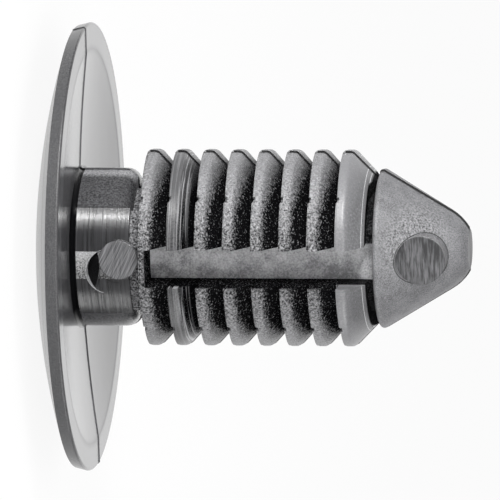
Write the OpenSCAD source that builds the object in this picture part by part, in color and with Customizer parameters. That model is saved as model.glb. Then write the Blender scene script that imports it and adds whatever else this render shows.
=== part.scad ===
// Push-in panel retainer of the fir-tree kind, moulded in one piece.
// It stands on the crown of its head: +Z runs up the stem to the nose, and the origin is the
// middle of the crown. The mould opens along Y, and the ejector pads are on the -Y side.

/* [Head] */
// Diameter of the round head
head_d = 25.4; // [20:0.1:32]
// Height of the crown, from its middle to the lower edge of the rim
crown_h = 1.92; // [1.2:0.02:3]
// Diameter of the small flat at the middle of the crown
crown_flat_d = 5; // [3:0.1:8]
// Height of the rim's outer wall
rim_h = 0.72; // [0.4:0.02:1.2]
// Draft of the rim's outer wall, which narrows towards the crown
rim_draft = 0.15; // [0.05:0.01:0.3]
// Radius on the upper edge of the rim
rim_round = 0.12; // [0.06:0.01:0.3]
// Width of the flat seat round the underside, which bears on the panel
seat_w = 1.5; // [0.6:0.1:3]
// Depth of the dished underside below the seat, at the axis
dish_depth = 0.68; // [0.3:0.02:1]
// Fillet where the collar leaves the head
root_fillet = 0.2; // [0.15:0.01:0.6]

/* [Collar] */
// Diameter of the plain collar that fills the panel hole
collar_d = 8.95; // [8:0.05:9.4]
// Height of the collar above the seat
collar_h = 2.75; // [2:0.05:5]
// Radius on the upper edge of the collar, outside the nicks
collar_round = 0.7; // [0.3:0.05:0.9]
// Step of the collar outwards between the nicks
collar_step = 0.05; // [0.02:0.01:0.1]
// Width of the flat that runs up the collar on the pad side
collar_flat_w = 1.58; // [0.8:0.02:2.4]
// Diameter of the neck between the collar and the first barb
neck_d = 6.9; // [6.4:0.05:7.4]
// Length of the neck
neck_h = 0.74; // [0.5:0.01:2]
// Diameter of the saddles that fill the neck between the nicks
saddle_d = 8.6; // [7.6:0.05:8.8]

/* [Barbs] */
// Number of barbs up the stem
barb_count = 8; // [4:1:12]
// Diameter over the barbs
barb_d = 11.11; // [10:0.01:12.5]
// Distance from one barb to the next
barb_pitch = 1.5875; // [1.3:0.0125:2.2]
// Width of the land at a barb's rim
barb_land = 0.3; // [0.1:0.01:0.4]
// Radius on the back edge of that land
barb_round = 0.03; // [0.02:0.01:0.1]
// Radius on its front edge, which leads into the sloping front
crest_round = 0.35; // [0.1:0.01:0.4]
// Diameter of the core at the foot of the barbs
core_d = 8.7; // [7.6:0.05:9]
// Length of bare core between a barb's foot and the next barb
core_gap = 0.05; // [0.02:0.01:0.3]
// Angle from the pull direction to the nicks where the mould inserts meet
nick_angle = 42.5; // [30:0.5:60]
// Width of a nick
nick_w = 0.36; // [0.1:0.01:0.5]
// Depth of a nick inward from the rim
nick_depth = 0.25; // [0.08:0.01:0.3]
// Height of a nick above the back of its barb
nick_h = 0.12; // [0.06:0.01:0.25]
// Fall of the barbs' backs from the nicks to the parting line
barb_draft = 0.14; // [0.06:0.01:0.2]
// Step of the rims towards the head between the nicks
rim_step = 0.05; // [0.03:0.01:0.2]
// Depth of that step inward from the rim
rim_step_w = 0.3; // [0.15:0.01:0.5]

/* [Throat] */
// Diameter of the waist where the last barb's front meets the nose
waist_d = 8.04; // [7.6:0.02:8.4]
// Diameter at the bottom of the throat cut under the nose from both moulded sides
throat_d = 7.2; // [6.6:0.05:7.5]
// Width of the throat
throat_w = 0.45; // [0.2:0.01:0.6]
// Distance from the parting line to where the throat starts
throat_start = 0.4; // [0.1:0.05:1]
// Distance from the parting line to where it has its full width
throat_full = 1.7; // [1.2:0.05:2.4]

/* [Channels] */
// Width of the channel along each moulded side
channel_w = 2.2; // [1.4:0.05:3]
// Thickness of the web left between the two channel floors
web_t = 5.6; // [4.6:0.1:6.6]
// Thickness of the first barb's rim where it crosses the channel
channel_wall = 0.27; // [0.22:0.01:0.5]

/* [Nose] */
// Diameter of the nose at its base
nose_d = 9; // [8:0.05:9.4]
// Distance from the last barb to the base of the nose
nose_gap = 1.93; // [1.7:0.01:3]
// Radius on the edge of the nose's base
nose_round = 0.2; // [0.1:0.01:0.3]
// Half angle of the nose cone
nose_angle = 31.4; // [24:0.2:38]
// Radius of the round tip
tip_r = 2.56; // [1.6:0.02:3]
// Diameter of the flat at the end of the tip
tip_flat_d = 2.2; // [1:0.05:2.4]

/* [Parting line] */
// Thickness of the flash where the two halves of the mould meet
flash_t = 0.06; // [0.03:0.01:0.12]
// Height of the flash above the stem
flash_h = 0.08; // [0.04:0.01:0.15]
// Height of the flash above the head
head_flash_h = 0.05; // [0.03:0.01:0.12]

/* [Ejector pads] */
// Diameter of the pad on the collar
collar_pad_d = 2.24; // [1.4:0.02:2.4]
// Distance from the collar's top edge down to the middle of its pad
collar_pad_drop = 0.56; // [0.45:0.01:1.2]
// Offset of the collar pad across the part
collar_pad_x = -0.35; // [-0.8:0.01:0.8]
// Height of the collar pad's face above the collar
collar_pad_proud = 0.16; // [0.06:0.01:0.3]
// Chamfer on the edge of both pads
pad_edge = 0.04; // [0.02:0.01:0.15]
// Diameter of the gate dimple beside the collar pad
dimple_d = 2.66; // [1.2:0.02:2.8]
// Distance from the collar's top edge down to the middle of the dimple
dimple_drop = 1.1; // [1:0.02:1.4]
// Offset of the dimple across the part
dimple_x = 0.38; // [-0.8:0.01:0.8]
// Depth of the dimple at its lower end
dimple_depth = 0.55; // [0.2:0.05:1]
// Distance over which its floor rises to the collar's face
dimple_run = 0.92; // [0.5:0.02:1.2]
// Diameter of the thin lip below the collar pad
pad_lip_d = 2.76; // [2.5:0.02:3]
// Width of the thin lips by the dimple and the pad
lip_w = 0.07; // [0.04:0.01:0.15]
// Height of those lips above the collar
lip_proud = 0.04; // [0.02:0.01:0.1]
// Diameter of the pad on the nose
nose_pad_d = 2.8; // [1.4:0.05:3]
// Height of the nose pad's middle above the base of the nose
nose_pad_rise = 2.6; // [1.8:0.02:2.8]
// Offset of the nose pad across the part
nose_pad_x = -0.1; // [-0.6:0.02:0.6]
// Height of the nose pad's face above the cone, at the pad's middle
nose_pad_proud = 0.26; // [0.1:0.02:0.6]

/* [Hidden] */
$fn = 180;
round_steps = 6;
edge_steps = 3;
past = 1;
skin = 0.02;

head_r = head_d / 2;
collar_r = collar_d / 2;
neck_r = neck_d / 2;
saddle_r = saddle_d / 2;
barb_r = barb_d / 2;
core_r = core_d / 2;
waist_r = waist_d / 2;
throat_r = throat_d / 2;
nose_r = nose_d / 2;

// Heights up the stem
seat_z = crown_h + rim_h;
collar_z = seat_z + collar_h;
barb_z = collar_z + neck_h;
last_barb_z = barb_z + (barb_count - 1) * barb_pitch;
nose_z = last_barb_z + nose_gap;
channel_z = barb_z + channel_wall;

// The crown is part of a sphere through the edge of its flat and the lower edge of the rim
crown_edge_r = head_r - rim_draft;
crown_c = (pow(crown_edge_r, 2) + pow(crown_h, 2) - pow(crown_flat_d / 2, 2)) / (2 * crown_h);
crown_r = sqrt(pow(crown_c, 2) + pow(crown_flat_d / 2, 2));

// The dish is part of a sphere through the inner edge of the seat
dish_edge_r = head_r - seat_w;
dish_r = (pow(dish_edge_r, 2) + pow(dish_depth, 2)) / (2 * dish_depth);
dish_c = seat_z - dish_depth + dish_r;
fillet_edge_r = collar_r + root_fillet;
fillet_z = dish_c - sqrt(pow(dish_r, 2) - pow(fillet_edge_r, 2));

// The round tip is tangent to the cone and ends in a flat
cone_z = nose_z + nose_round * (1 + sin(nose_angle));
cone_r = nose_r - nose_round * (1 - cos(nose_angle));
tangent_r = tip_r * cos(nose_angle);
tangent_z = cone_z + (cone_r - tangent_r) / tan(nose_angle);
tip_c = tangent_z - tip_r * sin(nose_angle);
tip_z = tip_c + sqrt(pow(tip_r, 2) - pow(tip_flat_d / 2, 2));

// The collar's upper edge is rounded no further in than the neck
collar_edge_r = min(collar_round, collar_r - neck_r - skin);

// The collar's flat starts just clear of the dish
flat_foot_r = sqrt(pow(fillet_edge_r, 2) + pow(collar_flat_w / 2, 2));
flat_foot_z = dish_c - sqrt(pow(dish_r, 2) - pow(flat_foot_r, 2)) + skin;

// Faces of the collar, its flat and the pads, measured from the axis
collar_face_r = collar_r + collar_step;
collar_flat_y = sqrt(pow(collar_face_r, 2) - pow(collar_flat_w / 2, 2));
collar_pad_y = collar_face_r + collar_pad_proud;
dimple_y = collar_face_r - dimple_depth;
collar_pad_z = collar_z - collar_pad_drop;
dimple_z = collar_z - dimple_drop;
dimple_low_z = dimple_z - dimple_d / 2;
dimple_run_z = dimple_low_z + dimple_run;
nose_pad_z = nose_z + nose_pad_rise;
nose_pad_y = cone_r - (nose_pad_z - cone_z) * tan(nose_angle) + nose_pad_proud;

// Points of an arc about c from angle a to angle b
function arc(c, r, a, b, steps = round_steps) =
    [for (i = [0:steps]) c + r * [cos(a + (b - a) * i / steps), sin(a + (b - a) * i / steps)]];

// Half section of a barb's rim: square back, land and a round crest towards the straight front
function rim(z) = concat(
    arc([barb_r - barb_round, z + barb_round], barb_round, -90, 0, edge_steps),
    arc([barb_r - crest_round, z + barb_land], crest_round, 0, 45)
);

// Half section at the foot of barb i: the core, or the waist under the nose
function foot(i) = i < barb_count - 1
    ? [[core_r, barb_z + (i + 1) * barb_pitch - core_gap], [core_r, barb_z + (i + 1) * barb_pitch]]
    : [[waist_r, nose_z]];

// Half section of the stem, from inside the head to where the round tip starts
function stem() = concat(
    [[0, crown_h / 2], [fillet_edge_r, crown_h]],
    arc([fillet_edge_r, fillet_z + root_fillet], root_fillet, 270, 180),
    arc([collar_r - collar_edge_r, collar_z - collar_edge_r], collar_edge_r, 0, 90),
    [[neck_r, collar_z], [neck_r, barb_z]],
    [for (i = [0:barb_count - 1]) each concat(rim(barb_z + i * barb_pitch), foot(i))],
    arc([nose_r - nose_round, nose_z + nose_round], nose_round, -90, nose_angle),
    [[tangent_r, tangent_z], [0, tangent_z]]
);

// Half section of the head: crown, rim wall, flat seat and dished underside
module head_section() {
    difference() {
        intersection() {
            polygon(concat(
                [[0, 0], [crown_edge_r, 0], [crown_edge_r, crown_h]],
                arc([head_r - rim_round, seat_z - rim_round], rim_round, 0, 90),
                [[0, seat_z]]
            ));
            translate([0, crown_c]) circle(r = crown_r);
        }
        translate([0, dish_c]) circle(r = dish_r);
    }
}

// Half section of the round tip
module tip_section() {
    intersection() {
        translate([0, tip_c]) circle(r = tip_r);
        translate([0, tangent_z]) square([tip_r, tip_z - tangent_z]);
    }
}

// Half section of the stem with the nose
module stem_section() {
    polygon(stem());
    tip_section();
}

// What stands out between the nicks on both moulded sides: rim steps, collar face and neck saddle
module insert_bands() {
    for (side = [90, 270])
        rotate_extrude(angle = 2 * nick_angle, start = side - nick_angle) {
            for (i = [0:barb_count - 1])
                translate([barb_r - barb_round - rim_step_w, barb_z + i * barb_pitch - rim_step])
                    square([rim_step_w, rim_step + barb_land / 2]);
            translate([neck_r - skin, fillet_z + root_fillet])
                square([collar_face_r - neck_r + skin, collar_z - fillet_z - root_fillet]);
            translate([neck_r - skin, collar_z - skin])
                square([saddle_r - neck_r + skin, neck_h + 2 * skin]);
        }
}

// Flash round the outline, on the far side of the plane where the two halves of the mould meet
module parting_flash() {
    translate([0, flash_t, 0])
        rotate([90, 0, 0])
            linear_extrude(height = flash_t)
                intersection() {
                    for (side = [0, 1], shift = [[1, 0], [0, 1]])
                        mirror([side, 0, 0]) {
                            translate(flash_h * shift) stem_section();
                            translate(head_flash_h * shift) head_section();
                        }
                    translate([-head_d, 0]) square([2 * head_d, tip_z]);
                }
}

// The backs of the barbs outside the nicks, which fall towards the parting line
module drafted_backs() {
    nick_y = barb_r * cos(nick_angle);
    intersection() {
        rotate_extrude()
            for (i = [0:barb_count - 1])
                translate([core_r - skin, barb_z + i * barb_pitch - barb_draft])
                    square([barb_r - barb_round - core_r + skin, barb_draft + skin]);
        rotate([90, 0, 90])
            linear_extrude(height = barb_d, center = true)
                for (i = [0:barb_count - 1])
                    translate([0, barb_z + i * barb_pitch])
                        polygon([
                            [-nick_y, skin],
                            [-nick_y, 0],
                            [0, -barb_draft],
                            [nick_y, 0],
                            [nick_y, skin],
                        ]);
    }
}

// A small nick in the back edge of every rim where two mould inserts meet
module nicks() {
    for (side = [0, 180], turn = [-nick_angle, nick_angle], i = [0:barb_count - 1])
        rotate([0, 0, side + turn])
            translate([-nick_w / 2, barb_r - nick_depth, barb_z + i * barb_pitch - rim_step - skin])
                cube([nick_w, nick_depth + past, nick_h + rim_step + skin]);
}

// The channel that lets the barbs fold, cut along both moulded sides
module channels() {
    for (side = [0, 180])
        rotate([0, 0, side])
            translate([-channel_w / 2, web_t / 2, channel_z])
                cube([channel_w, barb_r - web_t / 2 + past, nose_z - channel_z]);
}

// The throat under the nose, which opens from the parting line towards both moulded sides
module throat() {
    for (side = [0, 180])
        rotate([0, 0, side])
            difference() {
                rotate([90, 0, 90])
                    linear_extrude(height = barb_d, center = true)
                        polygon([
                            [throat_start, nose_z],
                            [barb_r, nose_z],
                            [barb_r, nose_z - throat_w],
                            [throat_full, nose_z - throat_w],
                        ]);
                translate([0, 0, last_barb_z]) cylinder(r = throat_r, h = nose_gap + past);
            }
}

// The flat up the pad side of the collar
module collar_flat() {
    translate([-collar_flat_w / 2, -fillet_edge_r, flat_foot_z])
        cube([collar_flat_w, fillet_edge_r - collar_flat_y, collar_pad_z - flat_foot_z]);
}

// A round peg along the pull direction, from the axis outwards to a chamfered face at y
module pull_peg(d, x, z, y) {
    translate([x, 0, z])
        rotate([90, 0, 0]) {
            cylinder(d = d, h = y - pad_edge);
            translate([0, 0, y - pad_edge]) cylinder(d1 = d, d2 = d - 2 * pad_edge, h = pad_edge);
        }
}

// A round cutter along the pull direction, from a face at y outwards
module pull_cutter(d, x, z, y) {
    translate([x, -y, z]) rotate([90, 0, 0]) cylinder(d = d, h = barb_r);
}

// The dimple, whose floor rises from its lower end to the collar's face
module dimple() {
    intersection() {
        pull_cutter(dimple_d, dimple_x, dimple_z, dimple_y);
        rotate([90, 0, 90])
            linear_extrude(height = collar_d, center = true)
                polygon([
                    [-collar_face_r, dimple_run_z],
                    [-dimple_y, dimple_low_z],
                    [-barb_r, dimple_low_z],
                    [-barb_r, dimple_run_z],
                ]);
    }
}

// A thin round lip on the collar, kept from one offset across the part and between two heights
module lip(d, x, z, from_x, low, high) {
    intersection() {
        difference() {
            pull_cutter(d + 2 * lip_w, x, z, dimple_y);
            pull_cutter(d, x, z, dimple_y - past);
        }
        translate([0, 0, low]) cylinder(r = collar_face_r + lip_proud, h = high - low);
        translate([from_x, -barb_r, low]) cube([barb_d, barb_r, high - low]);
    }
}

module fir_tree_clip() {
    color("#2b2b2d") {
        difference() {
            union() {
                rotate_extrude() {
                    head_section();
                    stem_section();
                }
                insert_bands();
                drafted_backs();
                parting_flash();
            }
            throat();
            channels();
            nicks();
            collar_flat();
            dimple();
            pull_cutter(nose_pad_d, nose_pad_x, nose_pad_z, nose_pad_y);
        }
        lip(dimple_d, dimple_x, dimple_z, -barb_r, dimple_low_z - lip_w, dimple_run_z);
        lip(pad_lip_d, collar_pad_x, collar_pad_z, collar_pad_x + pad_lip_d / 4, dimple_run_z, collar_pad_z);
        pull_peg(collar_pad_d, collar_pad_x, collar_pad_z, collar_pad_y);
        pull_peg(nose_pad_d, nose_pad_x, nose_pad_z, nose_pad_y);
    }
}

fir_tree_clip();
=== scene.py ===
# %% [markdown]
# # A fir-tree panel clip
# The clip is one moulding of black nylon: a domed head, a plain collar, a stack of ring barbs and
# a blunt nose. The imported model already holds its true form, down to the nicks in the barbs and
# the parting line, so nothing is modelled twice and this lesson is about finish, light and camera.
# First we load that model as a fixed frame, in metres, standing on its head.

# %% Load the frame
import math
import bmesh
import bpy
from mathutils import Matrix, Vector

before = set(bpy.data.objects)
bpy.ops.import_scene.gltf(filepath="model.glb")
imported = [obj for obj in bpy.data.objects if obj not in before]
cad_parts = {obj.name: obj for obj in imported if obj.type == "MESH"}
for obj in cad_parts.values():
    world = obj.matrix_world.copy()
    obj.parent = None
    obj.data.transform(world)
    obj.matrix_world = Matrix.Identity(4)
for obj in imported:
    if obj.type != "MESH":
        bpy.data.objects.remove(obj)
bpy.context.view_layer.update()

MM = 0.001
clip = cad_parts["fir_tree_clip"]

# %% [markdown]
# ## The camera
# The photograph was taken from the side with a long lens, with the clip lying along the picture.
# Here the clip stands up, so the camera is rolled a quarter turn instead: the picture's right is
# the clip's +Z and its upper half the clip's -X side. The view is turned a little round the stem
# and raised a little towards the nose. We could aim the camera with a constraint, but writing its
# three axes keeps the roll exact.

# %% Camera
TURN = math.radians(13.8)
RAISE = math.radians(8)
ROLL = math.radians(0.35)
DISTANCE = 620 * MM
FRAME_WIDTH = 28.26 * MM
AIM_HEIGHT = 11.66 * MM
AIM_DROP = 0.15 * MM
SENSOR = 36

stem = Vector((0, 0, 1))
side = Vector((-math.sin(TURN), -math.cos(TURN), 0))
to_camera = math.cos(RAISE) * side + math.sin(RAISE) * stem
level_right = math.cos(RAISE) * stem - math.sin(RAISE) * side
level_up = to_camera.cross(level_right)
picture_right = math.cos(ROLL) * level_right + math.sin(ROLL) * level_up
picture_up = to_camera.cross(picture_right)
aim = AIM_HEIGHT * stem - AIM_DROP * picture_up
axes = Matrix((picture_right, picture_up, to_camera)).transposed()
camera = bpy.data.objects.new("camera", bpy.data.cameras.new("camera"))
bpy.context.scene.collection.objects.link(camera)
camera.data.sensor_width = SENSOR
camera.data.lens = SENSOR * DISTANCE / FRAME_WIDTH
camera.matrix_world = Matrix.Translation(aim + DISTANCE * to_camera) @ axes.to_4x4()
bpy.context.scene.camera = camera
print("lens in mm", round(camera.data.lens, 1))

# %% [markdown]
# ## Two helpers for finishes
# Colours are easiest to read as the hex values of a paint program, but the renderer wants linear
# light, so one function turns the one into the other. A second adds a node with its settings and
# its inputs, where an input is either a value or another node's output. Nodes could be joined by
# hand in the editor, but a script shows every link. Most inputs go by number: a Map Range takes the
# value, the range it comes from and the range it goes to, and a Mix takes its share first.

# %% Helpers
def linear(hex_code):
    channels = [int(hex_code[i:i + 2], 16) / 255 for i in (1, 3, 5)]
    # The curve of the sRGB standard: straight near black and a power above
    return [c / 12.92 if c <= 0.04045 else ((c + 0.055) / 1.055) ** 2.4 for c in channels] + [1]


def add(tree, kind, inputs, **settings):
    node = tree.nodes.new("ShaderNode" + kind)
    for name, value in settings.items():
        setattr(node, name, value)
    for socket, value in inputs.items():
        if isinstance(value, bpy.types.NodeSocket):
            tree.links.new(value, node.inputs[socket])
        else:
            node.inputs[socket].default_value = value
    return node.outputs


print("charcoal in linear light", [round(c, 4) for c in linear("#1c1c1d")])

# %% [markdown]
# ## Moulded black nylon: knowing the place
# The clip is nylon filled with carbon black, all of one kind, but the mould gives each zone its own
# skin: polished under the head, turned on the collar, spark-eroded on the barbs, blasted on the
# nose. One material can hold them all if it knows where it is, so we work with Object coordinates
# in millimetres: the height up the stem, the distance from its axis, and how far a place lies off
# to the side of the mould's pull, from 0 in front to 1 at the parting line. Masks painted by hand
# would do as well, but they would be lost if the model were packed again.

# %% Places on the clip
# Injection-moulded nylon: a black body under a clear skin, so the eye reads its form from gloss
nylon = bpy.data.materials.new("black_nylon_injection_moulded")
nylon.use_nodes = True
tree = nylon.node_tree
shader = tree.nodes["Principled BSDF"]
object_place = add(tree, "TexCoord", {})["Object"]
place = add(tree, "VectorMath", {0: object_place, "Scale": 1 / MM}, operation="SCALE")[0]
x, y, z = add(tree, "SeparateXYZ", {0: place})
level = add(tree, "VectorMath", {0: place, 1: (1, 1, 0)}, operation="MULTIPLY")[0]
upright = add(tree, "VectorMath", {0: place, 1: (1, 0, 1)}, operation="MULTIPLY")[0]
radius = add(tree, "VectorMath", {0: level}, operation="LENGTH")["Value"]
off_pull = add(tree, "Math", {0: x}, operation="ABSOLUTE")[0]
sideways = add(tree, "Math", {0: off_pull, 1: radius}, operation="DIVIDE")[0]
in_front = add(tree, "Math", {0: y, 1: 0}, operation="LESS_THAN")[0]
upper = add(tree, "Math", {0: x, 1: 0}, operation="LESS_THAN")[0]
print("nodes that tell the place", len(tree.nodes))

# %% [markdown]
# ## Grain
# Spark erosion and blasting leave pits of a few hundredths of a millimetre in a mould. At that size
# they would fall between the pixels, so the noise here is drawn about three times coarser. A noise
# texture's scale is one over the size of its features, here in millimetres. Noise suits marks that
# never repeat; a bitmap of a real skin would show its tiles on a part seen from all sides.

# %% Grain
GRAIN_SIZE = 1 / 14
SPECK_SIZE = 1 / 9
CLOUD_SIZE = 1 / 1.3
FINE_SHARE = 0.6
grain_look = {"Scale": 1 / GRAIN_SIZE, "Detail": 1}
speck_look = {"Scale": 1 / SPECK_SIZE, "Detail": 2, "Roughness": FINE_SHARE}
cloud_look = {"Scale": 1 / CLOUD_SIZE, "Detail": 3}
grain = add(tree, "TexNoise", {"Vector": place, **grain_look})[0]
speck = add(tree, "TexNoise", {"Vector": place, **speck_look})[0]
cloud = add(tree, "TexNoise", {"Vector": place, **cloud_look})[0]
print("grain drawn at mm", round(GRAIN_SIZE, 3), round(SPECK_SIZE, 3), round(CLOUD_SIZE, 2))

# %% [markdown]
# ## Collar
# The collar's mould was turned on a lathe, so fine rings run round it. We get rings by squeezing
# noise along the stem and stretching it across; a wave texture would make them too even. Outside
# the mould's inserts the steel was eroded and looks mottled, and in front, next to the parting line
# on the -X side, a pale band along the edge is a painted highlight. Each zone is kept as a layer: a
# mask, a pattern, its dark and light tone, and the pattern's values where those two are reached.

# %% Collar
RING_SPACING = 0.1
# Features per millimetre along a ring, so that each runs on for several millimetres
SLOW = 0.15
INSERT_EDGE = math.sin(math.radians(42))
INSERT_END = math.sin(math.radians(45))
BAND_START = 0.965
BAND_END = 0.99
# Real turning marks are finer than a pixel, so they are drawn a tenth of a millimetre apart
ring_scale = (SLOW, SLOW, 1 / RING_SPACING)
ring_look = {"Scale": 1, "Detail": 3, "Roughness": FINE_SHARE}
round_stem = add(tree, "VectorMath", {0: place, 1: ring_scale}, operation="MULTIPLY")[0]
turned = add(tree, "TexNoise", {"Vector": round_stem, **ring_look})[0]
off_inserts = add(tree, "MapRange", {0: sideways, 1: INSERT_EDGE, 2: INSERT_END})[0]
upper_front = add(tree, "Math", {0: upper, 1: in_front}, operation="MULTIPLY")[0]
# Painted highlight: a pale band along the collar's upper edge in front, next to the parting line
band_painted_highlight = add(tree, "MapRange", {0: sideways, 1: BAND_START, 2: BAND_END, 4: upper_front})[0]
layers = [
    (None, turned, "#161617", "#323234", 0.3, 0.7),
    (off_inserts, speck, "#2a2a2b", "#505052", 0.35, 0.7),
    (band_painted_highlight, speck, "#58585a", "#949496", 0.35, 0.7),
]
print("rings per mm", round(1 / RING_SPACING))

# %% [markdown]
# ## Flat, dimple and foot
# Below its pad the collar has a small rough flat, made paler towards -X by painted light, and a
# dimple whose floor is painted dark as shade behind a lip drawn as a thin painted highlight. Its
# foot, where it runs into the head, is painted dark as shade too. These could be painted on an
# unwrapped copy, but a slab or a ring in space finds each of them: a Compare node gives 1 where its
# first two values differ by no more than the third.

# %% Flat, dimple and foot
FLAT_HALF = 0.79
FLAT_FACE = -4.3
FLAT_LIGHT_SLOPE = -0.3
DIMPLE_REACH = 4.42
DIMPLE_MIDDLE = 3.4
DIMPLE_HALF = 0.48
LIP_CENTRE = (0.38, 0, 4.29)
LIP_REACH = 1.33
LIP_HALF = 0.02
FOOT_TOP = 2.38
# Painted light: the flat is made paler towards -X
flat_grain_and_painted_light = add(tree, "Math", {0: x, 1: FLAT_LIGHT_SLOPE, 2: grain}, operation="MULTIPLY_ADD")[0]
near_flat = add(tree, "Math", {0: off_pull, 1: FLAT_HALF}, operation="LESS_THAN")[0]
outermost = add(tree, "Math", {0: y, 1: FLAT_FACE}, operation="LESS_THAN")[0]
on_flat = add(tree, "Math", {0: near_flat, 1: outermost}, operation="MULTIPLY")[0]
inside = add(tree, "Math", {0: radius, 1: DIMPLE_REACH}, operation="LESS_THAN")[0]
at_dimple = add(tree, "Math", {0: z, 1: DIMPLE_MIDDLE, 2: DIMPLE_HALF}, operation="COMPARE")[0]
# Painted shade: the dimple's floor is dark
dimple_painted_shade = add(tree, "Math", {0: inside, 1: at_dimple}, operation="MULTIPLY")[0]
# Painted highlight: a thin bright arc on the dimple's lip
lip_distance = add(tree, "VectorMath", {0: upright, 1: LIP_CENTRE}, operation="DISTANCE")["Value"]
at_lip = add(tree, "Math", {0: lip_distance, 1: LIP_REACH, 2: LIP_HALF}, operation="COMPARE")[0]
lip_front = add(tree, "Math", {0: at_lip, 1: in_front}, operation="MULTIPLY")[0]
lip_painted_highlight = add(tree, "Math", {0: lip_front, 1: at_dimple}, operation="MULTIPLY")[0]
# Painted shade: the foot where the collar meets the head is dark
foot_painted_shade = add(tree, "Math", {0: z, 1: FOOT_TOP}, operation="LESS_THAN")[0]
layers.append((on_flat, flat_grain_and_painted_light, "#1c1c1d", "#989899", 0.2, 0.85))
layers.append((dimple_painted_shade, grain, "#060607", "#101011", 0.3, 0.7))
layers.append((lip_painted_highlight, grain, "#747476", "#9c9c9e", 0.3, 0.7))
layers.append((foot_painted_shade, grain, "#050506", "#0c0c0d", 0.3, 0.7))
print("layers on the collar", len(layers))

# %% [markdown]
# ## Painted light on the barbs' rims
# A barb's rim is paler than its front as painted light, where the crest catches the lamps, and the
# front sinks into a groove painted dark as shade. A map range over the distance from the axis lights
# the rim. Towards the parting line the painted light spreads down the front and grows stronger, so
# the ends of that range move with the place. Vertex colours could do this too, but they would need
# far more vertices than the form does.

# %% Painted rim light
COLLAR_TOP = 5.39
SPREAD_START = 0.58
RIM_START = 5.14
RIM_END = 5.65
SIDE_START = 4.4
SIDE_END = 5.7
GAIN_START = 0.15
GAIN_END = 0.65
FRONT_PALE = 0.7
SIDE_PALE = 1.1
pale_gain = {1: GAIN_START, 2: GAIN_END, 3: FRONT_PALE, 4: SIDE_PALE}
spread = add(tree, "MapRange", {0: sideways, 1: SPREAD_START, 2: 1})[0]
pale_from = add(tree, "Mix", {0: spread, 2: RIM_START, 3: SIDE_START}, data_type="FLOAT")[0]
pale_to = add(tree, "Mix", {0: spread, 2: RIM_END, 3: SIDE_END}, data_type="FLOAT")[0]
pale_most = add(tree, "MapRange", {0: sideways, **pale_gain})[0]
# Painted light on the rims, and painted shade down the fronts into the grooves
rim_painted_light = add(tree, "MapRange", {0: radius, 1: pale_from, 2: pale_to, 4: pale_most})[0]
on_barbs = add(tree, "Math", {0: z, 1: COLLAR_TOP}, operation="GREATER_THAN")[0]
print("rim's pale band in mm", round(RIM_END - RIM_START, 2))

# %% [markdown]
# ## Eroded grain of the barbs
# Sparks ate the barbs' mould unevenly: the fronts are coarsely mottled, with sparse bright pits that
# are painted glints, painted fainter down the grooves as shade. The mottling fades towards the
# parting line, where the steel was polished more. The noise is centred on zero and added to the
# painted rim light, so it roughens the border between the two as well; two separate layers would
# leave that border smooth. The short neck above the collar is mottled all over.

# %% Eroded grain
CORE = 4.4
CORE_PITS = 0.15
RIM_PITS = 0.65
PIT_EDGE = 0.6
PIT_FULL = 0.76
NOISE_MEAN = 0.5
FRONT_MOTTLE = 2.4
SIDE_MOTTLE = 0.9
FINE_MOTTLE = 0.5
NECK_MIDDLE = 5.76
NECK_HALF = 0.36
# Painted glints in the pits, painted fainter down the grooves as shade
glint_shade_in_grooves = add(tree, "MapRange", {0: radius, 1: CORE, 2: RIM_START, 3: CORE_PITS, 4: RIM_PITS})[0]
painted_pit_glints = add(tree, "MapRange", {0: speck, 1: PIT_EDGE, 2: PIT_FULL, 4: glint_shade_in_grooves})[0]
mottle = add(tree, "MapRange", {0: spread, 3: FRONT_MOTTLE, 4: SIDE_MOTTLE})[0]
centred = add(tree, "Math", {0: speck, 1: NOISE_MEAN}, operation="SUBTRACT")[0]
eroded = add(tree, "Math", {0: centred, 1: mottle, 2: rim_painted_light}, operation="MULTIPLY_ADD")[0]
eroded = add(tree, "Math", {0: grain, 1: FINE_MOTTLE, 2: eroded}, operation="MULTIPLY_ADD")[0]
eroded = add(tree, "Math", {0: eroded, 1: painted_pit_glints}, operation="ADD")[0]
on_neck = add(tree, "Math", {0: z, 1: NECK_MIDDLE, 2: NECK_HALF}, operation="COMPARE")[0]
layers.append((on_barbs, eroded, "#0a0a0b", "#848486", 0.47, 1.6))
layers.append((on_neck, speck, "#1c1c1d", "#949496", 0.35, 0.75))
print("neck's length in mm", 2 * NECK_HALF)

# %% [markdown]
# ## The second barb
# Its mould was turned again after erosion, which left sharp rings on the front. They end where the
# groove is painted dark as shade, and show only faintly on the rim, which takes a share of the
# painted rim light. We reuse the collar's rings with a narrow map range, which sharpens them; a
# second noise would only cost time.

# %% Second barb
FIRST_BACK = 6.13
PITCH = 1.5875
SECOND_MARGIN = 0.08
GROOVE_START = 4.8
GROOVE_END = 5.1
LINE_EDGE = 0.5
LINE_FULL = 0.58
LINED_REACH = 5.4
LINED_END = 5.5
RIM_LINES = 0.25
RIM_TONE = 0.28
# The zone is one pitch long and starts a small margin before the barb's back
SECOND_MIDDLE = FIRST_BACK + 1.5 * PITCH - SECOND_MARGIN
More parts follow.
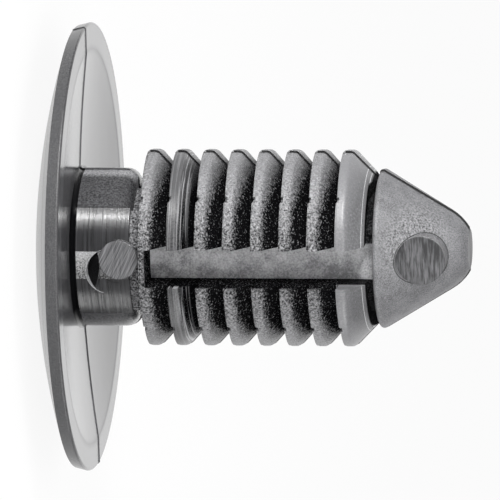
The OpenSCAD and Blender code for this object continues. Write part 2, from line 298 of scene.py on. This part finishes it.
# Painted shade: the rings fade out where the groove is dark
groove_end = add(tree, "MapRange", {0: radius, 1: GROOVE_START, 2: GROOVE_END})[0]
sharp = add(tree, "MapRange", {0: turned, 1: LINE_EDGE, 2: LINE_FULL})[0]
off_rim = add(tree, "MapRange", {0: radius, 1: LINED_END, 2: LINED_REACH, 3: RIM_LINES})[0]
lined = add(tree, "Math", {0: sharp, 1: groove_end}, operation="MULTIPLY")[0]
lined = add(tree, "Math", {0: lined, 1: off_rim}, operation="MULTIPLY")[0]
lined = add(tree, "Math", {0: rim_painted_light, 1: RIM_TONE, 2: lined}, operation="MULTIPLY_ADD")[0]
on_second = add(tree, "Math", {0: z, 1: SECOND_MIDDLE, 2: PITCH / 2}, operation="COMPARE")[0]
layers.append((on_second, lined, "#060607", "#8c8c8e", 0, 1.2))
print("second barb's zone in mm", [round(SECOND_MIDDLE + end * PITCH / 2, 2) for end in (-1, 1)])

# %% [markdown]
# ## The last barb
# It has a smooth grey face with two bright rings, painted highlights on its edges, before the throat
# under the nose, which is painted dark as shade. The rings could be modelled as grooves, but they
# are thinner than a hair, so a painted tone stands in for them.

# %% Last barb
BARBS_BEFORE = 7
LAST_MARGIN = 0.15
THROAT_REACH = 4.3
THROAT_END = 4.4
FACE_MOTTLE = 0.7
BRIGHT_RINGS = [4.64, 4.42]
RING_HALF = 0.015
LAST_START = FIRST_BACK + BARBS_BEFORE * PITCH - LAST_MARGIN
# Painted shade: the throat under the nose is dark
out_of_throat_shade = add(tree, "MapRange", {0: radius, 1: THROAT_REACH, 2: THROAT_END})[0]
smooth = add(tree, "Math", {0: eroded, 1: FACE_MOTTLE, 2: out_of_throat_shade}, operation="MULTIPLY_ADD")[0]
on_last = add(tree, "Math", {0: z, 1: LAST_START}, operation="GREATER_THAN")[0]
layers.append((on_last, smooth, "#0a0a0b", "#707072", 0.1, 2.15))
# Painted highlights: two bright rings on the last barb's face
for ring in BRIGHT_RINGS:
    at_ring = add(tree, "Math", {0: radius, 1: ring, 2: RING_HALF}, operation="COMPARE")[0]
    ring_painted_highlight = add(tree, "Math", {0: at_ring, 1: on_last}, operation="MULTIPLY")[0]
    layers.append((ring_painted_highlight, grain, "#8c8c8e", "#b0b0b2", 0.3, 0.7))
print("last barb starts at mm", round(LAST_START, 2))

# %% [markdown]
# ## Nose
# The nose's mould was blasted, so the nose is an even fine grey, with a coarse patch where the melt
# ran in beside the pad. A distance from one point, faded by a map range, gives that patch a soft
# edge, which a hard mask would not.

# %% Nose
NOSE_BASE = 19.16
NOSE_GRAIN = 2.2
PATCH_CENTRE = (-1.2, 0, 21.3)
PATCH_EDGE = 2.4
PATCH_CORE = 1
uneven = add(tree, "Math", {0: grain, 1: NOSE_GRAIN, 2: cloud}, operation="MULTIPLY_ADD")[0]
on_nose = add(tree, "Math", {0: z, 1: NOSE_BASE}, operation="GREATER_THAN")[0]
patch_distance = add(tree, "VectorMath", {0: upright, 1: PATCH_CENTRE}, operation="DISTANCE")["Value"]
patch = add(tree, "MapRange", {0: patch_distance, 1: PATCH_EDGE, 2: PATCH_CORE})[0]
nose_front = add(tree, "Math", {0: on_nose, 1: in_front}, operation="MULTIPLY")[0]
on_patch = add(tree, "Math", {0: patch, 1: nose_front}, operation="MULTIPLY")[0]
layers.append((on_nose, uneven, "#444446", "#727274", 1.1, 2.1))
layers.append((on_patch, speck, "#1a1a1c", "#8a8a8c", 0.3, 0.75))
print("coarse patch's width in mm", 2 * PATCH_EDGE)

# %% [markdown]
# ## Channel floor and seam
# The channel's floor is palest of all, partly its own tone and partly painted light where it faces
# the lamps, clouded a little and with painted shade darker towards the +X wall. Along the parting
# line the two mould halves leave a seam, painted dark as the shadow of their step. Faces could be
# given slots of their own, but the imported mesh is left as it is, so the depth from the axis finds
# the floor and a thin slab finds the seam.

# %% Channel floor and seam
FLOOR_REACH = 3.05
FLOOR_MIDDLE = 12.78
FLOOR_HALF = 6.38
WALL_SHADE_SLOPE = -0.2
SEAM_HALF = 0.1
# Partly painted light: the floor's pale tone, with painted shade towards the +X wall
clouded = add(tree, "Math", {0: cloud, 1: speck}, operation="ADD")[0]
clouded = add(tree, "Math", {0: x, 1: WALL_SHADE_SLOPE, 2: clouded}, operation="MULTIPLY_ADD")[0]
deep = add(tree, "Math", {0: radius, 1: FLOOR_REACH}, operation="LESS_THAN")[0]
along = add(tree, "Math", {0: z, 1: FLOOR_MIDDLE, 2: FLOOR_HALF}, operation="COMPARE")[0]
on_floor = add(tree, "Math", {0: deep, 1: along}, operation="MULTIPLY")[0]
# Painted shadow: the dark seam along the parting line
at_seam = add(tree, "Math", {0: y, 1: -SEAM_HALF, 2: SEAM_HALF}, operation="COMPARE")[0]
seam_painted_shadow = add(tree, "Math", {0: at_seam, 1: on_barbs}, operation="MULTIPLY")[0]
layers.append((on_floor, clouded, "#7e7e80", "#c8c8ca", 0.7, 1.3))
layers.append((seam_painted_shadow, grain, "#0c0c0d", "#1c1c1d", 0.3, 0.7))
print("layers so far", len(layers))

# %% [markdown]
# ## The collar's ejector pad
# A pad is the face of a steel pin that was ground flush with the mould, so grinding marks run
# straight across it, slanting on this one. A turned Mapping node could slant them, but two dot
# products say it more plainly: one coordinate over the marks, one along them, and noise on these.

# %% Collar's pad
PAD_FACE = -4.62
PAD_MIDDLE = 4.83
PAD_HALF = 1.15
# Marks per millimetre on each axis, drawn coarser than real grinding so that they show
OVER_MARKS = (6, 0, 12)
ALONG_MARKS = (0.5, 0, -0.25)
over_marks = add(tree, "VectorMath", {0: place, 1: OVER_MARKS}, operation="DOT_PRODUCT")["Value"]
along_marks = add(tree, "VectorMath", {0: place, 1: ALONG_MARKS}, operation="DOT_PRODUCT")["Value"]
on_marks = add(tree, "CombineXYZ", {0: over_marks, 1: along_marks})[0]
slanting = add(tree, "TexNoise", {"Vector": on_marks, "Scale": 1, "Detail": 2})[0]
proud = add(tree, "Math", {0: y, 1: PAD_FACE}, operation="LESS_THAN")[0]
by_pad = add(tree, "Math", {0: z, 1: PAD_MIDDLE, 2: PAD_HALF}, operation="COMPARE")[0]
on_pad = add(tree, "Math", {0: proud, 1: by_pad}, operation="MULTIPLY")[0]
layers.append((on_pad, slanting, "#28282a", "#646466", 0.34, 0.66))
print("grinding marks per mm", round(math.hypot(*OVER_MARKS), 1))

# %% [markdown]
# ## The nose's ejector pad
# This pad's marks run crosswise, one corner of it is darker, and a thin line of painted shade round
# it shows the gap about the pin. The same noise as the collar's rings, squeezed along the stem, makes
# the marks; a distance from the corner darkens them there.

# %% Nose's pad
NOSE_PAD = (-0.1, 0, 21.77)
NOSE_PAD_REACH = 1.39
OUTLINE = 1.44
OUTLINE_HALF = 0.025
# Scores per millimetre on each axis, again coarser than real ones
SCORES = (0.9, 0, 8)
DARK_CORNER = (-1, 0, 22.6)
DARK_CORE = 0.3
DARK_EDGE = 1.2
DARK_SHARE = 0.78
on_scores = add(tree, "VectorMath", {0: place, 1: SCORES}, operation="MULTIPLY")[0]
crosswise = add(tree, "TexNoise", {"Vector": on_scores, **ring_look})[0]
corner = add(tree, "VectorMath", {0: upright, 1: DARK_CORNER}, operation="DISTANCE")["Value"]
darkened_corner = add(tree, "MapRange", {0: corner, 1: DARK_CORE, 2: DARK_EDGE, 3: DARK_SHARE, 4: 1})[0]
crosswise = add(tree, "Math", {0: crosswise, 1: darkened_corner}, operation="MULTIPLY")[0]
pad_distance = add(tree, "VectorMath", {0: upright, 1: NOSE_PAD}, operation="DISTANCE")["Value"]
near_pad = add(tree, "Math", {0: pad_distance, 1: NOSE_PAD_REACH}, operation="LESS_THAN")[0]
on_nose_pad = add(tree, "Math", {0: near_pad, 1: in_front}, operation="MULTIPLY")[0]
# Painted shade: a thin dark line round the pad
at_outline = add(tree, "Math", {0: pad_distance, 1: OUTLINE, 2: OUTLINE_HALF}, operation="COMPARE")[0]
outline_painted_shade = add(tree, "Math", {0: at_outline, 1: in_front}, operation="MULTIPLY")[0]
layers.append((outline_painted_shade, grain, "#0c0c0d", "#1c1c1d", 0.3, 0.7))
layers.append((on_nose_pad, crosswise, "#161618", "#505052", 0.38, 0.62))
print("nose pad's width in mm", 2 * NOSE_PAD_REACH)

# %% [markdown]
# ## Head
# The head's underside and crown come from polished steel and mirror what stands round them, with
# faint streaks of the polishing across the mould. Next to the collar a narrow ring keeps the foot's
# painted shade; it is wider in front than at the sides. The rim's wall is fine-grained. One mask for
# each would be simplest, but the ring's width has to follow the place, so its edge is a Mix.

# %% Head
FOOT_FRONT = 4.98
FOOT_SIDE = 4.62
FRONT_END = 0.6
SIDE_FULL = 0.95
HEAD_TOP = 2.75
CROWN_TOP = 1.9
RIM_EDGE = 12.53
# Streaks per millimetre across them
STREAKS = 1.2
on_streaks = add(tree, "VectorMath", {0: place, 1: (SLOW, STREAKS, 0)}, operation="MULTIPLY")[0]
streak = add(tree, "TexNoise", {"Vector": on_streaks, "Scale": 1, "Detail": 3})[0]
at_side = add(tree, "MapRange", {0: sideways, 1: FRONT_END, 2: SIDE_FULL})[0]
foot_edge = add(tree, "Mix", {0: at_side, 2: FOOT_FRONT, 3: FOOT_SIDE}, data_type="FLOAT")[0]
# Inside this edge the head keeps the foot's painted shade
off_collar = add(tree, "Math", {0: radius, 1: foot_edge}, operation="GREATER_THAN")[0]
low = add(tree, "Math", {0: z, 1: HEAD_TOP}, operation="LESS_THAN")[0]
underside = add(tree, "Math", {0: off_collar, 1: low}, operation="MULTIPLY")[0]
crown = add(tree, "Math", {0: z, 1: CROWN_TOP}, operation="LESS_THAN")[0]
on_head = add(tree, "Math", {0: underside, 1: crown}, operation="MAXIMUM")[0]
on_rim = add(tree, "Math", {0: radius, 1: RIM_EDGE}, operation="GREATER_THAN")[0]
layers.append((on_head, streak, "#3c3c3e", "#505052", 0.3, 0.7))
layers.append((on_rim, grain, "#2a2a2c", "#484849", 0.35, 0.75))
print("layers in all", len(layers))

# %% [markdown]
# ## Laying the tones over each other
# Later layers cover earlier ones, so the order above runs from the widest zone to the smallest on
# each part of the clip. One loop makes the same three nodes for every layer. A colour ramp each
# would do too, but its stops are not inputs, which is all that our node function sets.

# %% Tones
for mask, pattern, dark, light, start, end in layers:
    share = add(tree, "MapRange", {0: pattern, 1: start, 2: end})[0]
    tone = add(tree, "Mix", {0: share, 6: linear(dark), 7: linear(light)}, data_type="RGBA")[2]
    if mask is None:
        colour = tone
    else:
        colour = add(tree, "Mix", {0: mask, 6: colour, 7: tone}, data_type="RGBA")[2]
tree.links.new(colour, shader.inputs["Base Color"])
print("nodes after the tones", len(tree.nodes))

# %% [markdown]
# ## Gloss
# Polished steel gives a glossy skin and eroded steel a dull one. Turned rings stretch a highlight
# along the stem, which the Principled shader calls anisotropic; its tangent runs round the Z axis.
# The collar's pad reaches above the collar, so it is taken out of the barbs' eroded zone. The rim's
# wall is dull in front and as glossy as the underside towards its sides. A material for each zone
# would leave hard borders in the mesh, so as with the tones we list the zones: the collar's value
# first, and then each zone's own.

# %% Gloss
NYLON_IOR = 1.53
QUARTER_TURN = 0.25
HEAD_ROUGH = 0.18
RIM_ROUGH = 0.5
on_eroded = add(tree, "Math", {0: on_barbs, 1: on_pad}, operation="SUBTRACT", use_clamp=True)[0]
rim_rough = add(tree, "Mix", {0: at_side, 2: RIM_ROUGH, 3: HEAD_ROUGH}, data_type="FLOAT")[0]
skins = {
    "Roughness": (0.26, [
        (on_eroded, 0.4),
        (on_second, 0.45),
        (on_nose, 0.55),
        (on_head, HEAD_ROUGH),
        (on_rim, rim_rough),
    ]),
    "Anisotropic": (0.9, [(on_eroded, 0), (on_second, 0.8), (on_head, 0)]),
}
shader.inputs["IOR"].default_value = NYLON_IOR
shader.inputs["Anisotropic Rotation"].default_value = QUARTER_TURN
around = add(tree, "Tangent", {}, direction_type="RADIAL", axis="Z")[0]
tree.links.new(around, shader.inputs["Tangent"])
print("zones of roughness", len(skins["Roughness"][1]))

# %% [markdown]
# ## How much is mirrored
# Down in grooves, throat, dimple and foot next to nothing reaches the surface to be mirrored, so the
# specular level, plainly 0.5, fades there. It could be left to the shadows alone, but our pits are
# only bump, which casts none. On the head it is weaker along the edge of the dish and along the
# lower half of the parting line, where the steel is harder to polish.

# %% Mirror
PLAIN = 0.5
MOTTLED_MIRROR = 0.2
SUNK_START = 0.45
SUNK_END = 1.15
DIMPLE_MIRROR = 0.1
FOOT_MIRROR = 0.4
BEND_MIRROR = 0.15
DISH_EDGE = 11.2
BEND_HALF = 0.4
groove_mirror = add(tree, "MapRange", {0: eroded, 1: SUNK_START, 2: SUNK_END, 4: PLAIN})[0]
throat_mirror = add(tree, "Math", {0: out_of_throat_shade, 1: PLAIN}, operation="MULTIPLY")[0]
foot_mirror = add(tree, "Math", {0: at_side, 1: FOOT_MIRROR}, operation="MULTIPLY")[0]
past_edge = add(tree, "Math", {0: radius, 1: DISH_EDGE}, operation="SUBTRACT")[0]
from_edge = add(tree, "Math", {0: past_edge}, operation="ABSOLUTE")[0]
from_line = add(tree, "Math", {0: y}, operation="ABSOLUTE")[0]
# The upper half of the line is counted as out of reach, which leaves the lower half
from_line = add(tree, "Math", {0: upper, 1: BEND_HALF, 2: from_line}, operation="MULTIPLY_ADD")[0]
from_bend = add(tree, "Math", {0: from_edge, 1: from_line}, operation="MINIMUM")[0]
head_mirror = add(tree, "MapRange", {0: from_bend, 2: BEND_HALF, 3: BEND_MIRROR, 4: PLAIN})[0]
skins["Specular IOR Level"] = (PLAIN, [
    (off_inserts, MOTTLED_MIRROR),
    (on_eroded, groove_mirror),
    (on_last, throat_mirror),
    (on_nose, PLAIN),
    (dimple_painted_shade, DIMPLE_MIRROR),
    (foot_painted_shade, foot_mirror),
    (on_head, head_mirror),
])
print("zones of mirror strength", len(skins["Specular IOR Level"][1]))

# %% [markdown]
# ## Relief
# Pits and rings are hundredths of a millimetre deep: too small for the model, but they break up
# every reflection. Displacement would need millions of faces for them, so a bump node takes their
# heights, in millimetres. The heights are listed by zone, and one loop lays all the lists.

# %% Relief
skins["pit height"] = (0.005, [(on_eroded, 0.09), (on_second, 0.01), (on_last, 0.01), (on_head, 0)])
skins["ring height"] = (0.02, [(on_eroded, 0), (on_second, 0.04), (on_head, 0)])
laid = {}
for skin, (value, zones) in skins.items():
    for mask, own_value in zones:
        value = add(tree, "Mix", {0: mask, 2: value, 3: own_value}, data_type="FLOAT")[0]
    laid[skin] = value
for socket in ("Roughness", "Anisotropic", "Specular IOR Level"):
    tree.links.new(laid[socket], shader.inputs[socket])
pitted = add(tree, "Math", {0: speck, 1: laid["pit height"]}, operation="MULTIPLY")[0]
relief = add(tree, "Math", {0: turned, 1: laid["ring height"], 2: pitted}, operation="MULTIPLY_ADD")[0]
bump = add(tree, "Bump", {"Strength": 1, "Distance": MM, "Height": relief})[0]
tree.links.new(bump, shader.inputs["Normal"])
clip.material_slots[0].material = nylon
print("nodes in the finish", len(tree.nodes))

# %% [markdown]
# ## The floor
# The photograph's ground is plain white. A sheet of white paper lies under the clip and runs far
# out on all sides; one face of a grid is enough for it, and a bent backdrop would not be seen.

# %% Floor
FLOOR_SIZE = 3
floor_form = bmesh.new()
bmesh.ops.create_grid(floor_form, x_segments=1, y_segments=1, size=FLOOR_SIZE / 2)
floor_mesh = bpy.data.meshes.new("floor")
floor_form.to_mesh(floor_mesh)
floor_form.free()
floor = bpy.data.objects.new("floor", floor_mesh)
bpy.context.scene.collection.objects.link(floor)
print("floor width in m", FLOOR_SIZE)

# %% [markdown]
# ## White paper
# Paper under soft light is never quite white. More light would make it so, but it would bleach the
# clip as well. So where the camera or a reflection sees the sheet, most of it glows at strength 1,
# and the rest keeps the shadow.

# %% Paper
GLOW_SHARE = 0.9
# Matt white paper: no gloss, so only the shadow shows on it
paper = bpy.data.materials.new("white_paper_matt")
paper.use_nodes = True
sheet = paper.node_tree
sheet.nodes.clear()
rays = add(sheet, "LightPath", {})
seen = add(sheet, "Math", {0: rays["Is Camera Ray"], 1: rays["Is Glossy Ray"]}, operation="MAXIMUM")[0]
seen = add(sheet, "Math", {0: seen, 1: rays["Is Transmission Ray"]}, operation="MAXIMUM")[0]
glow_share = add(sheet, "Math", {0: seen, 1: GLOW_SHARE}, operation="MULTIPLY")[0]
matt = add(sheet, "BsdfDiffuse", {"Color": linear("#eeeeee")})[0]
glow = add(sheet, "Emission", {"Color": linear("#ffffff"), "Strength": 1})[0]
surface = add(sheet, "MixShader", {0: glow_share, 1: matt, 2: glow})[0]
add(sheet, "OutputMaterial", {"Surface": surface})
floor_mesh.materials.append(paper)
print("paper nodes", len(sheet.nodes))

# %% [markdown]
# ## The room
# A weak white world fills the shadows from all round. A picture of a studio would do it too, but
# it would draw its own windows on the gloss. The Standard view shows each colour as it is written.

# %% World
WORLD_STRENGTH = 0.25
world = bpy.data.worlds.new("studio")
bpy.context.scene.world = world
world.use_nodes = True
background = world.node_tree.nodes["Background"]
background.inputs["Color"].default_value = linear("#ffffff")
background.inputs["Strength"].default_value = WORLD_STRENGTH
bpy.context.scene.view_settings.view_transform = "Standard"
print("world strength", WORLD_STRENGTH)

# %% [markdown]
# ## Softboxes
# Black gloss shows little but its reflections, so each softbox is placed for what it draws: a strip
# and a low box on the left for the line along the collar, a low box on the right for the sheen on
# the other side, a box in front for the channel's floor, a wide one behind that the underside of
# the head mirrors, and weak ones above, left and right to fill. Left and right are the standing
# clip's, which the rolled camera shows as top and bottom. An area lamp's power is its radiance times
# pi times its area, which lets us think in brightness.

# %% Softboxes
# Name, degrees round from the front, degrees up, then distance, width and height in mm, radiance
softboxes = [
    ("top", -14, 58, 280, 260, 160, 2.2),
    ("left", -62, 28, 260, 150, 200, 1.5),
    ("low left", -56, 8, 240, 110, 70, 16),
    ("strip", -57, 8, 235, 12, 70, 180),
    ("right", 50, 28, 260, 200, 160, 1.4),
    ("low right", 72, 8, 240, 110, 70, 11),
    ("front", 10, 18, 450, 200, 200, 5),
    ("back", 166, 15, 500, 900, 500, 1.1),
]
for name, azimuth, elevation, distance, width, height, radiance in softboxes:
    lamp = bpy.data.lights.new(name, "AREA")
    lamp.shape = "RECTANGLE"
    lamp.size = width * MM
    lamp.size_y = height * MM
    lamp.energy = radiance * math.pi * width * height * MM * MM
    softbox = bpy.data.objects.new(name, lamp)
    bpy.context.scene.collection.objects.link(softbox)
    turn = math.radians(azimuth)
    rise = math.radians(elevation)
    toward = Vector((math.sin(turn) * math.cos(rise), -math.cos(turn) * math.cos(rise), math.sin(rise)))
    softbox.location = AIM_HEIGHT * stem + distance * MM * toward
    softbox.rotation_euler = toward.to_track_quat("Z", "Y").to_euler()
    softbox.visible_camera = False
    print("softbox", name, "watts", round(lamp.energy, 3))
